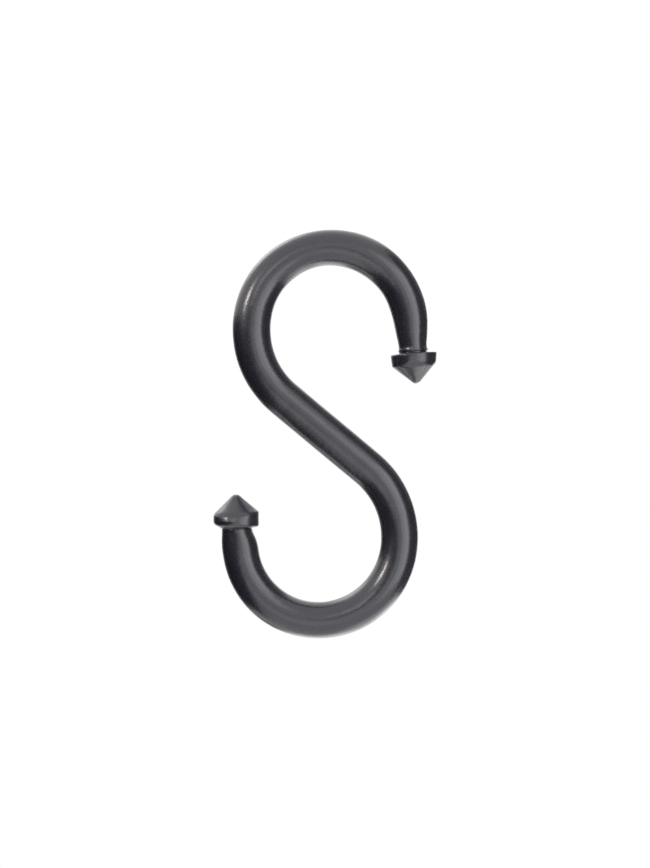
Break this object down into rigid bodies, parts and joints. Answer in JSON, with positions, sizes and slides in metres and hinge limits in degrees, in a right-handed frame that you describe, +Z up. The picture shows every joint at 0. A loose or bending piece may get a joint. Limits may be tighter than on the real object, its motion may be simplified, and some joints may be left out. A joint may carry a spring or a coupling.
{
  "type": "s hook",
  "caption": "Round-bar S hook: opposite open bends joined by a straight diagonal, each end necked down and finished by a collar with a blunt cone.",
  "frame": {"origin": "the rail seat, which is the underside of the bar at the top of the upper hook, where a rail bears", "axes": "+Z up as the hook hangs, +X towards the upper hook's open side, +Y through the bar's thickness"},
  "size_m": [0.0377, 0.0078, 0.07],
  "materials": {
    "coated_metal": "satin charcoal-black coat over metal, with a very fine grain"
  },
  "bodies": {
    "root": {"hook": "coated_metal"}
  },
  "joints": []
}
